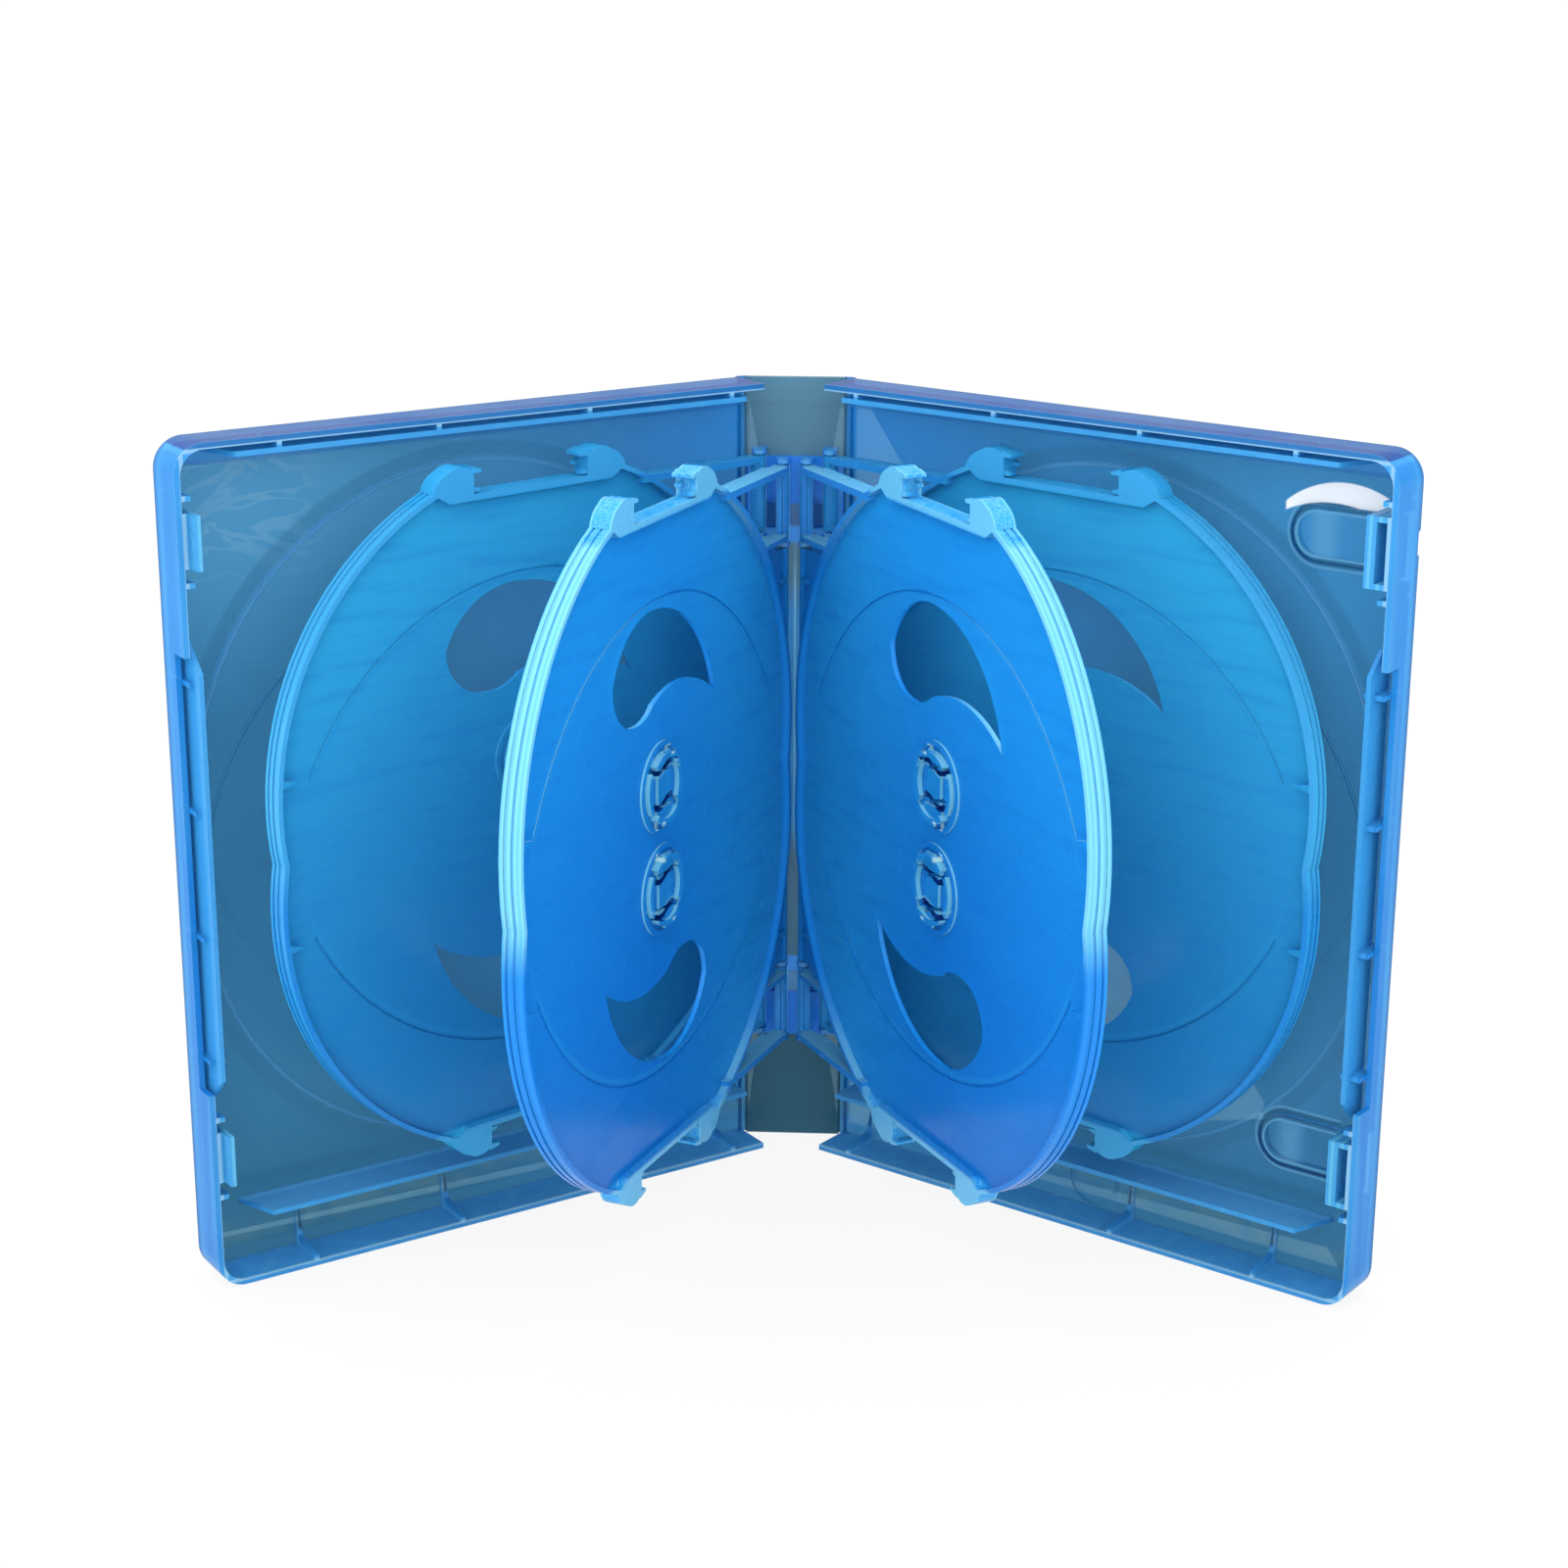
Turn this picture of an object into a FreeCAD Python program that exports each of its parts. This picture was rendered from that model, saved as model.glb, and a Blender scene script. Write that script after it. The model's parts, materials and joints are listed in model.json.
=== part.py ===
import FreeCAD, Part
import os
from math import cos, radians, sin, sqrt
from FreeCAD import Vector

os.makedirs("parts", exist_ok=True)

# Opened multi-disc case of clear blue plastic, standing on its lower edges.
# X runs to the right, Y to the back, Z up. The origin is on the floor, on the
# outer face of the spine and halfway along it. All sizes are in millimetres.

# Discs that the case is made for
DISC_R = 60.0
HOLE_R = 7.5                   # hole in the middle of a disc

# Trays
SEAT_R = DISC_R + 0.3          # disc seat
RIM_W = 1.0
TRAY_R = SEAT_R + RIM_W        # outer radius of the two lobes
HUB_S = TRAY_R                 # pin to hubs: the lobes touch the hinge line
HUB_DZ = 0.177 * DISC_R        # each of the two hubs from the tray's middle
TRAY_T = 4.6                   # depth of the rim, half of it each side of the pin axis
TRAY_GAP = 0.35                # between two trays in the closed case
TRAY_PITCH = TRAY_T + TRAY_GAP
TRAY_BACK = -TRAY_T / 2
TRAY_FRONT = TRAY_T / 2
PLATE_BACK = -0.4              # the plate lies inside the rim
PLATE_FRONT = 0.6
RIDGE = 0.3                    # depth of the grooves round the rim
NOTCH_Z = HUB_DZ + TRAY_R - 5.7    # floor of the finger notch
NOTCH_HALF = 14.0
NOTCH_WALL = 1.3
EAR_H = 4.9                    # ear above the floor of the notch
EAR_CREST = 0.7
TRAY_HALF = NOTCH_Z + EAR_H + EAR_CREST

# Tray hinges
AXIS_Y = -4.2                  # tray hinge pins, in front of the outer face of the spine
AXIS_X = tuple(TRAY_PITCH * n for n in (-1.5, -0.5, 0.5, 1.5))
ARM_T = 1.4
ARM_Z = (NOTCH_Z - 2.0 - ARM_T, NOTCH_Z - 2.0)     # strip that carries the hinge pins
STAY_Z = tuple(NOTCH_Z * n for n in (0.733, 0.592, 0.456))
STAY_T = 1.0
LEAF_Z = (STAY_Z[0] - 0.5, ARM_Z[1])               # hinge barrel between the lugs
LEAF_S = 1.9
FILL_GAP = 0.4                 # plate below the lugs
NEAR_S = 5.0                   # within this distance of the pins the back is cut away
NEAR_BACK = -1.3
NEAR_FRONT = 1.4
NEAR_FOOT_Z = 22.0             # strip on the hinge line starts here
FILL_FOOT_Z = 12.0             # plate beside the hinge line starts here
BARREL_R = 1.3
PIN_R = 0.9
PIN_CLEAR = 0.08
LUG_T = 0.9
LUG_GAP = 0.3                  # barrel to lug
LUG_R = PIN_R + 0.6            # rounded lug round a pin
TRAY_LIFT = (2.0, 0.0, 0.0, 2.0)   # the rear pair sits on higher lugs
BLOCK_Z = (LEAF_Z[0] - LUG_GAP - LUG_T, LEAF_Z[1] + LUG_GAP + LUG_T)
RIB_Y = -2.6                   # upright ribs behind the barrels
BAY = 1.25                     # ribs each side of a barrel
BAY_T = 0.5
WINDOW_H = 5.0                 # windows in the spine between the barrels
WINDOW_DROP = 3.4              # middle of the hinge row to the middle of a window

# Hubs
HUB_R = HOLE_R - 0.15
HUB_WALL = 1.2
HUB_H = 1.65
COVER_HUB_H = 1.75
HUB_SEAT_R = 9.5
SLOT_W = 0.8                   # wavy slots that free the jaws
SLOT_WAVE = 0.75
SLOT_Z = (4.3, -2.9)

# Case shell
SHELL_T = 1.2                  # panel and wall thickness
TRAY_CLEAR = 0.325             # outer tray to the cover's panel
SPINE_W = 2 * (AXIS_X[3] + TRAY_FRONT + TRAY_CLEAR + SHELL_T)   # closed case, hinge line to hinge line
FREE_EDGE = 4.5                # trays to the free edge of a cover
COVER_L = 2 * TRAY_R - AXIS_Y + FREE_EDGE      # hinge line to the free edge of a cover
CORNER_R = 6.0                 # outer corners of a cover
EDGE_R = 1.0                   # rounded outer edge between panel and walls
MEET_GAP = 0.3                 # gap between the two rims when the case is closed
RIM_D = SPINE_W / 2 - MEET_GAP / 2
HINGE_CLEAR = 1.6              # start of the full panel, from the hinge line
WEB_T = 0.4                    # living hinge web
WEB_START = 0.6                # each half of the web starts this far from the hinge line
SPINE_CLEAR = 0.8              # spine plate, from each hinge line
COVER_HUB_S = HUB_S - AXIS_Y

# Inner shelves, parallel with the top and bottom walls
SHELF_T = 1.0
LOW_SHELF_Z = 13.5
UNDER_TRAYS = 3.1              # lower shelf to the trays
OVER_TRAYS = 7.0               # trays to the upper shelf
OVER_SHELF = 2.3               # upper shelf to the top of the case
TRAY_MID_Z = LOW_SHELF_Z + SHELF_T + TRAY_HALF + UNDER_TRAYS    # middle of all trays
TOP_SHELF_Z = TRAY_MID_Z + TRAY_HALF + OVER_TRAYS
CASE_H = TOP_SHELF_Z + SHELF_T + OVER_SHELF     # height of the case
SHELF_START = 6.0
SHELF_SHORT = 8.6              # shelf to the free edge, at the panel
SHELF_SLANT = 3.7              # the shelf is shorter by this at the rim
SHELF_END_PANEL = COVER_L - SHELF_SHORT
SHELF_END_RIM = SHELF_END_PANEL - SHELF_SLANT
RIB_T = 1.0
RIB_FIRST = 9.5
RIB_LAST = 9.0                 # last rib to the end of the shelf
RIB_STEP = (SHELF_END_RIM - RIB_LAST - RIB_FIRST) / 3
RIB_STATIONS = tuple(RIB_FIRST + RIB_STEP * n for n in range(4))

# Free edge: thumb recess, inner flange, latches
LATCH_H = 10.6
LATCH_DROP = 9.6               # upper shelf to the upper latch
LATCH_RISE = 8.7               # lower shelf to the lower latch
LATCH_TEETH = (3.2, 2.8)       # teeth below and above each latch of the left cover
CATCH_TEETH = 4.0              # teeth below and above each latch of the right cover
HIGH_LATCH_Z = TOP_SHELF_Z - LATCH_DROP         # top of the upper latch
LOW_LATCH_Z = LOW_SHELF_Z + SHELF_T + LATCH_RISE
LATCH_Z = ((HIGH_LATCH_Z - LATCH_H, HIGH_LATCH_Z), (LOW_LATCH_Z, LOW_LATCH_Z + LATCH_H))
THUMB_FOOT = 8.2               # lower latch to the thumb recess
THUMB_HEAD = 17.0              # thumb recess to the upper latch
THUMB_Z = (LATCH_Z[1][1] + THUMB_FOOT, LATCH_Z[0][0] - THUMB_HEAD)
THUMB_D = 6.4                  # what is left of the outer wall in the thumb recess
FLANGE_T = 0.9
LEFT_FLANGE_S = COVER_L - 3.0
RIGHT_FLANGE_S = LEFT_FLANGE_S - FLANGE_T - 0.3      # clears the left flange in the closed case
LOOP_S = COVER_L - 6.1         # inner face of the catch loop of the right cover
LOOP_SLOT_S = (COVER_L - 4.0, COVER_L - 1.9)
TONGUE_S = (LOOP_SLOT_S[0] + 0.4, LOOP_SLOT_S[1] - 0.5)     # latch tongue of the left cover
TONGUE_D = RIM_D + 2.9
PAD_R = 5.6                    # raised pad under each catch loop
PAD_H = 1.3
PAD_S = LOOP_S - 14.2
TOOTH_ENDS = (6.5, 5.6)        # first and last tooth from the ends of the thumb recess
TOOTH_STEP = (THUMB_Z[1] - THUMB_Z[0] - sum(TOOTH_ENDS)) / 3
TOOTH_Z = tuple(THUMB_Z[0] + TOOTH_ENDS[0] + TOOTH_STEP * n for n in range(4))

# Clear film on the outside
FILM_T = 0.12
FILM_S = (2.0, COVER_L - 2.3)
FILM_Z = (3.0, CASE_H - 3.0)

# Pose: turned out of the closed case, in degrees
LEFT_OPEN = 53.8
RIGHT_OPEN = 56.2
TRAY_OPEN = (45.2, 20.4, 28.4, 51.6)


def box(x0, x1, y0, y1, z0, z1):
    return Part.makeBox(x1 - x0, y1 - y0, z1 - z0, Vector(x0, y0, z0))


def fuse(shapes):
    whole = shapes[0].multiFuse(shapes[1:]) if len(shapes) > 1 else shapes[0]
    return whole.removeSplitter()


def cyl_y(r, x, z, y0, y1):
    """Cylinder along Y, the thickness direction of covers and trays."""
    return Part.makeCylinder(r, y1 - y0, Vector(x, y0, z), Vector(0, 1, 0))


def ring_y(r0, r1, x, z, y0, y1):
    return cyl_y(r1, x, z, y0, y1).cut(cyl_y(r0, x, z, y0 - 1, y1 + 1))


def prism_y(points, y0, y1):
    """Straight-sided outline given as (along, up) points, drawn in thickness."""
    wire = Part.makePolygon([Vector(x, y0, z) for x, z in points + points[:1]])
    return Part.Face(wire).extrude(Vector(0, y1 - y0, 0))


def prism_x(points, x0, x1):
    """Outline given as (depth, up) points, drawn along the cover."""
    wire = Part.makePolygon([Vector(x0, y, z) for y, z in points + points[:1]])
    return Part.Face(wire).extrude(Vector(x1 - x0, 0, 0))


def prism_z(points, z0, z1):
    """Outline given as (along, depth) points, drawn upwards."""
    wire = Part.makePolygon([Vector(x, y, z0) for x, y in points + points[:1]])
    return Part.Face(wire).extrude(Vector(0, 0, z1 - z0))


def plate(s0, s1, z0, z1, r, d0, d1):
    """Plate with its two corners at the free edge rounded."""
    k = r * (1 - sqrt(0.5))
    a = Vector(s0, d0, z0)
    b = Vector(s1 - r, d0, z0)
    c = Vector(s1, d0, z0 + r)
    d = Vector(s1, d0, z1 - r)
    e = Vector(s1 - r, d0, z1)
    f = Vector(s0, d0, z1)
    low = Part.Arc(b, Vector(s1 - k, d0, z0 + k), c).toShape()
    high = Part.Arc(d, Vector(s1 - k, d0, z1 - k), e).toShape()
    edges = [Part.makeLine(a, b), low, Part.makeLine(c, d), high]
    edges += [Part.makeLine(e, f), Part.makeLine(f, a)]
    return Part.Face(Part.Wire(edges)).extrude(Vector(0, d1 - d0, 0))


# Hubs: two sprung jaws above and below, a crescent each side, two cross slots
def hub_ring(s, z, base, height):
    wall = ring_y(HUB_R - HUB_WALL, HUB_R, s, z, base - 0.2, base + height)
    gap = 1.5
    for angle in (42, 138, 222, 318):
        slot = box(s, s + 12, base - 1, base + height + 1, z - gap / 2, z + gap / 2)
        slot.rotate(Vector(s, 0, z), Vector(0, 1, 0), angle)
        wall = wall.cut(slot)
    side = height * 0.65
    for end in (-1, 1):
        x0, x1 = sorted((s + end * 5.0, s + end * 12))
        wall = wall.cut(box(x0, x1, base + side, base + height + 1, z - 5, z + 5))
    seat = ring_y(HUB_SEAT_R - 1.1, HUB_SEAT_R, s, z, base - 0.2, base + 0.45)
    parts = [wall, seat]
    for end in (-1, 1):
        bead = box(s - 1.6, s + 1.6, base + height - 0.8, base + height - 0.2,
                   min(z + end * 6.6, z + end * 7.65), max(z + end * 6.6, z + end * 7.65))
        parts.append(bead)
        jaw = box(s - 3.6, s + 3.6, base - 0.2, base + 0.9,
                  min(z + end * 3.9, z + end * 6.4), max(z + end * 3.9, z + end * 6.4))
        parts.append(jaw)
    parts.append(box(s - 2.6, s + 2.6, base - 0.2, base + 0.7, z - 3.4, z + 3.4))
    return parts


def hub_slots(s, z, back, base, end):
    """Wavy slots that free the two jaws. The lower hub of a tray has them turned half round."""
    cuts = []
    for height in SLOT_Z:
        upper = []
        for n in range(9):
            x = -5.2 + 1.3 * n
            upper.append((s + end * x, z + end * (height + SLOT_WAVE * sin(radians(45 * n)) + SLOT_W / 2)))
        lower = [(x, up - end * SLOT_W) for x, up in reversed(upper)]
        cuts.append(prism_y(upper + lower, back - 1, base + 3))
    return cuts


# Covers, in the closed position: along = X, depth towards the inside = Y
def cover_shell():
    outer = plate(HINGE_CLEAR, COVER_L, 0, CASE_H, CORNER_R, 0, RIM_D)
    edges = []
    for e in outer.Edges:
        b = e.BoundBox
        if b.YMax < 0.01 and b.XMax > HINGE_CLEAR + 0.01:
            edges.append(e)
    outer = outer.makeFillet(EDGE_R, edges)
    pocket = plate(HINGE_CLEAR - 5, COVER_L - SHELL_T, SHELL_T, CASE_H - SHELL_T,
                   CORNER_R - SHELL_T, SHELL_T, RIM_D + 5)
    shell = outer.cut(pocket)
    web = box(WEB_START, HINGE_CLEAR + 0.1, 0, WEB_T, 0, CASE_H)
    return shell.fuse(web)


def shelf(z):
    points = [(SHELF_START, SHELL_T - 0.1), (SHELF_END_PANEL, SHELL_T - 0.1)]
    points += [(SHELF_END_RIM, RIM_D), (SHELF_START, RIM_D)]
    return prism_z(points, z, z + SHELF_T)


def cover_ribs():
    ribs = []
    for s in RIB_STATIONS:
        x0, x1 = s - RIB_T / 2, s + RIB_T / 2
        floor = [(SHELL_T - 0.1, SHELL_T - 0.1), (RIM_D, SHELL_T - 0.1), (RIM_D, SHELL_T + 1.0)]
        floor += [(SHELL_T + 2.0, SHELL_T + 2.4), (SHELL_T - 0.1, LOW_SHELF_Z - 3.0)]
        ribs.append(prism_x(floor, x0, x1))
        ribs.append(box(x0, x1, SHELL_T - 0.1, RIM_D, TOP_SHELF_Z + SHELF_T - 0.1, CASE_H - SHELL_T + 0.1))
    return ribs


def wall_teeth(heights, inner, d1):
    """Short ribs across the free edge."""
    teeth = []
    for z in heights:
        points = [(COVER_L - SHELL_T + 0.1, SHELL_T - 0.1), (COVER_L - SHELL_T + 0.1, d1)]
        points += [(inner, d1), (inner, d1 - 1.2), (inner + 1.2, SHELL_T - 0.1)]
        teeth.append(prism_z(points, z - RIB_T / 2, z + RIB_T / 2))
    return teeth


def thumb_cut():
    """The outer wall drops to a low lip along the middle of the free edge."""
    z0, z1 = THUMB_Z
    cut = box(COVER_L - SHELL_T - 0.05, COVER_L + 1, THUMB_D, RIM_D + 1, z0, z1)
    return cut


def flange(s0, top):
    """Second wall inside the thumb recess, its ends sloped."""
    z0, z1 = THUMB_Z
    body = box(s0, s0 + FLANGE_T, SHELL_T - 0.1, top, z0 - 3, z1 + 3)
    slope = top - THUMB_D
    low = prism_x([(THUMB_D, z0 - 3), (top + 1, z0 - 3), (top + 1, z0 - 3 + slope + 1)], s0 - 1, s0 + 3)
    high = prism_x([(THUMB_D, z1 + 3), (top + 1, z1 + 3), (top + 1, z1 + 3 - slope - 1)], s0 - 1, s0 + 3)
    return body.cut(low).cut(high)


def cover_common():
    hubs = []
    for end in (-1, 1):
        z = TRAY_MID_Z + end * HUB_DZ
        hubs += hub_ring(COVER_HUB_S, z, SHELL_T, COVER_HUB_H)
        hubs.append(ring_y(SEAT_R, SEAT_R + 0.6, COVER_HUB_S, z, SHELL_T - 0.1, SHELL_T + 0.3))
    body = fuse([cover_shell(), shelf(TOP_SHELF_Z), shelf(LOW_SHELF_Z)] + cover_ribs())
    inside = box(HINGE_CLEAR + 1, COVER_L - 0.5, 0.2, RIM_D, LOW_SHELF_Z + 0.5, TOP_SHELF_Z + 0.5)
    trimmed = [h.common(inside) for h in hubs]
    return fuse([body] + trimmed)


def left_cover():
    body = cover_common().cut(thumb_cut())
    parts = [body, flange(LEFT_FLANGE_S, RIM_D + 1.5)]
    parts += wall_teeth(TOOTH_Z, RIGHT_FLANGE_S, RIM_D - 1.2)
    for z0, z1 in LATCH_Z:
        parts += wall_teeth((z0 - LATCH_TEETH[0], z1 + LATCH_TEETH[1]), LEFT_FLANGE_S, RIM_D)
        s0, s1 = TONGUE_S
        tongue = box(s0, s1, SHELL_T - 0.1, TONGUE_D, z0, z1)
        land = box(s0, COVER_L - SHELL_T + 0.1, RIM_D - 1.2, RIM_D, z0, z1)
        points = [(s0 + 0.1, TONGUE_D - 1.6), (s0 - 0.25, TONGUE_D - 1.0), (s0 + 0.1, TONGUE_D - 0.2)]
        bead = prism_z(points, z0 + 1.5, z1 - 1.5)
        parts += [tongue, land, bead]
    return fuse(parts)


def right_cover():
    body = cover_common().cut(thumb_cut())
    parts = [body, flange(RIGHT_FLANGE_S, RIM_D - 0.2)]
    parts += wall_teeth((TOOTH_Z[0], TOOTH_Z[3]), RIGHT_FLANGE_S - 1.2, RIM_D - 1.8)
    parts += wall_teeth((TOOTH_Z[1], TOOTH_Z[2]), RIGHT_FLANGE_S, RIM_D - 1.8)
    hollows = []
    for z0, z1 in LATCH_Z:
        zc = (z0 + z1) / 2
        a, b = z0 - 1.6, z1 + 1.6
        parts += wall_teeth((z0 - CATCH_TEETH, z1 + CATCH_TEETH), LEFT_FLANGE_S, RIM_D)
        loop = box(LOOP_S, COVER_L - SHELL_T + 0.1, SHELL_T - 0.1, RIM_D, a, b)
        inner = box(LOOP_SLOT_S[0], LOOP_SLOT_S[1], SHELL_T + 1.0, RIM_D + 1, z0 - 0.5, z1 + 0.5)
        parts.append(loop.cut(inner))
        top = SHELL_T + PAD_H
        pad = cyl_y(PAD_R, PAD_S, zc, SHELL_T - 0.1, top)
        pad = pad.fuse(box(PAD_S, LOOP_S + 0.5, SHELL_T - 0.1, top, zc - PAD_R, zc + PAD_R))
        r = PAD_R - 1.0
        hollow = cyl_y(r, PAD_S, zc, -1, PAD_H)
        hollow = hollow.fuse(box(PAD_S, LOOP_S - 0.6, -1, PAD_H, zc - r, zc + r))
        parts.append(pad)
        hollows.append(hollow)
    ring = ring_y(5.2, 5.8, COVER_HUB_S + 1.5, LOW_SHELF_Z * 0.55, SHELL_T - 0.1, SHELL_T + 0.35)
    parts.append(ring)
    whole = fuse(parts)
    for hollow in hollows:
        whole = whole.cut(hollow)
    return whole


# Trays, around their pin axis: along = X, front = +Y, up = Z from the middle
def lobes(radius, y0, y1):
    low = cyl_y(radius, HUB_S, -HUB_DZ, y0, y1)
    return low.fuse(cyl_y(radius, HUB_S, HUB_DZ, y0, y1)).removeSplitter()


def tray_outline(inset, y0, y1):
    """Two overlapping lobes less the finger notches above and below."""
    shape = lobes(TRAY_R - inset, y0, y1)
    grow = NOTCH_WALL if inset else 0
    for end in (-1, 1):
        z0, z1 = sorted((end * (NOTCH_Z - grow), end * 90))
        half_w = NOTCH_HALF + grow
        shape = shape.cut(box(HUB_S - half_w, HUB_S + half_w, y0 - 1, y1 + 1, z0, z1))
    return shape


def at_hub(p, y):
    return Vector(HUB_S + p[0], y, p[1])


def arc(a, m, b, y):
    return Part.Arc(at_hub(a, y), at_hub(m, y), at_hub(b, y)).toShape()


def comma():
    """Comma-shaped finger opening above the upper hub, drawn on a seat of radius one."""
    tip, crown, lobe = (-0.423, 0.398), (0.008, 0.778), (0.342, 0.589)
    chin, heel = (0.187, 0.426), (0.050, 0.468)
    bends = ((tip, (-0.265, 0.660), crown), (crown, (0.229, 0.730), lobe))
    bends += ((lobe, (0.299, 0.474), chin), (chin, (0.119, 0.431), heel))
    bends += ((heel, (-0.158, 0.501), tip),)
    edges = []
    for bend in bends:
        a, m, b = [(SEAT_R * u, SEAT_R * z) for u, z in bend]
        edges.append(arc(a, m, b, TRAY_BACK - 1))
    return Part.Face(Part.Wire(edges)).extrude(Vector(0, TRAY_T + 2, 0))


def ear(side):
    """Rounded horn beside the upper finger notch, with a curled tip and two hooks."""
    u = NOTCH_HALF
    top_z = NOTCH_Z + EAR_H
    outer = u + 9.6
    foot, top = (side * u, NOTCH_Z - NOTCH_WALL), (side * u, top_z - 0.6)
    shoulder = (side * (u + 6.0), top_z - 0.2)
    flank = (side * outer, sqrt(TRAY_R ** 2 - outer ** 2) + HUB_DZ)
    inner = (side * (u + 5.8), NOTCH_Z - NOTCH_WALL)
    y = TRAY_BACK
    edges = [Part.makeLine(at_hub(foot, y), at_hub(top, y))]
    edges.append(arc(top, (side * (u + 2.8), top_z + EAR_CREST), shoulder, y))
    edges.append(arc(shoulder, (side * (u + 8.6), top_z - 2.0), flank, y))
    edges.append(Part.makeLine(at_hub(flank, y), at_hub(inner, y)))
    edges.append(Part.makeLine(at_hub(inner, y), at_hub(foot, y)))
    body = Part.Face(Part.Wire(edges)).extrude(Vector(0, TRAY_T, 0))
    parts = [body]
    hooks = ((TRAY_BACK, 0, 1.9, TRAY_T), (TRAY_BACK + 0.3, 2.1, 1.3, 1.4), (TRAY_FRONT - 1.7, 3.7, 1.6, 1.4))
    for y0, drop, reach, wide in hooks:
        z0 = top_z - 0.9 - drop
        root, tip = HUB_S + side * (u + 0.5), HUB_S + side * (u - reach)
        parts.append(prism_y([(root, z0), (root, z0 + 1.3), (tip, z0 + 0.7), (tip, z0 + 0.1)], y0, y0 + wide))
    return parts


def stay(s0, s1, z0, z1):
    """Strip from the hinge line to the rim, shallow beside the pins."""
    near = box(s0, NEAR_S + 0.1, NEAR_BACK, NEAR_FRONT, z0, z1)
    wide = box(NEAR_S / 2, NEAR_S + 0.1, NEAR_BACK, TRAY_FRONT, z0, z1)
    return near.fuse(wide).fuse(box(NEAR_S, s1, TRAY_BACK, TRAY_FRONT, z0, z1))


def rim_reach(z):
    """From the hinge line to the middle of the rim at a height above the tray's middle."""
    return HUB_S - sqrt((TRAY_R - RIM_W / 2) ** 2 - (z - HUB_DZ) ** 2)


def upper_hinge():
    z0, z1 = LEAF_Z
    low_edge = BLOCK_Z[0] - FILL_GAP
    parts = [stay(0.9, rim_reach(ARM_Z[0]) + 3.0, ARM_Z[0], ARM_Z[1])]
    parts.append(stay(0.9, rim_reach(STAY_Z[0]), STAY_Z[0], STAY_Z[0] + STAY_T))
    for z in STAY_Z[1:]:
        parts.append(box(0, 3.4, NEAR_BACK, NEAR_FRONT, z, z + STAY_T))
    parts.append(box(0, LEAF_S, -0.55, 0.55, z0, z1))
    parts.append(box(0, 9.0, PLATE_BACK, PLATE_FRONT, FILL_FOOT_Z, low_edge))
    far = rim_reach(low_edge) + 1.0
    parts.append(box(LEAF_S + 2.6, far, PLATE_BACK, PLATE_FRONT, low_edge - 4.0, STAY_Z[0] + 0.2))
    parts.append(box(0, 0.9, NEAR_BACK, NEAR_FRONT, NEAR_FOOT_Z, low_edge))
    parts.append(Part.makeCylinder(BARREL_R, z1 - z0, Vector(0, 0, z0)))
    over = LUG_GAP + LUG_T - 0.1
    parts.append(Part.makeCylinder(PIN_R, z1 - z0 + 2 * over, Vector(0, 0, z0 - over)))
    return parts


def turned(shape):
    """Same shape turned half a turn in the plane of the tray about its middle."""
    copy = shape.copy()
    copy.rotate(Vector(HUB_S, 0, 0), Vector(0, 1, 0), 180)
    return copy


def flipped(shape):
    """Same shape mirrored to the lower half of the tray."""
    return shape.mirror(Vector(0, 0, 0), Vector(0, 0, 1))


def tray_rim():
    body = tray_outline(0, TRAY_BACK, TRAY_FRONT)
    body = body.cut(tray_outline(RIM_W, PLATE_FRONT, TRAY_FRONT + 1))
    body = body.cut(tray_outline(RIM_W, TRAY_BACK - 1, PLATE_BACK))
    for y0, y1 in ((-1.5, -0.9), (0.1, 0.7)):
        body = body.cut(lobes(TRAY_R + 2, y0, y1).cut(lobes(TRAY_R - RIDGE, y0 - 1, y1 + 1)))
    return body


def seat_groove(end):
    """Shallow line of the other disc's edge, across the plate."""
    ring = ring_y(SEAT_R - 0.9, SEAT_R - 0.4, HUB_S, -end * HUB_DZ, PLATE_FRONT - 0.3, PLATE_FRONT + 0.2)
    z0, z1 = sorted((end * 4, end * SEAT_R))
    return ring.common(box(8, 2 * HUB_S - 8, PLATE_FRONT - 1, PLATE_FRONT + 1, z0, z1))


def tray():
    parts = [tray_rim()]
    upper = upper_hinge() + ear(-1) + ear(1)
    edge = HUB_S + TRAY_R - 0.9
    nib_z = SEAT_R * 0.274
    nib = [(edge, nib_z - 0.9), (edge - 4.2, nib_z), (edge, nib_z + 0.9)]
    upper.append(prism_y(nib, TRAY_FRONT - 0.9, TRAY_FRONT))
    parts += upper
    parts += [flipped(piece) for piece in upper]
    hub = hub_ring(HUB_S, HUB_DZ, PLATE_FRONT, HUB_H)
    parts += hub
    parts += [turned(piece) for piece in hub]
    whole = fuse(parts)
    cuts = [comma(), turned(comma())]
    for end in (-1, 1):
        cuts += hub_slots(HUB_S, end * HUB_DZ, PLATE_BACK, PLATE_FRONT, end)
        cuts.append(seat_groove(end))
    for cut in cuts:
        whole = whole.cut(cut)
    return whole


# Spine with its two rows of hinge lugs
def block_heights(index, end):
    """Low and high end of one tray's lugs in the upper (1) or lower (-1) row."""
    middle = TRAY_MID_Z + TRAY_LIFT[index]
    return sorted((middle + end * BLOCK_Z[0], middle + end * BLOCK_Z[1]))


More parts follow.
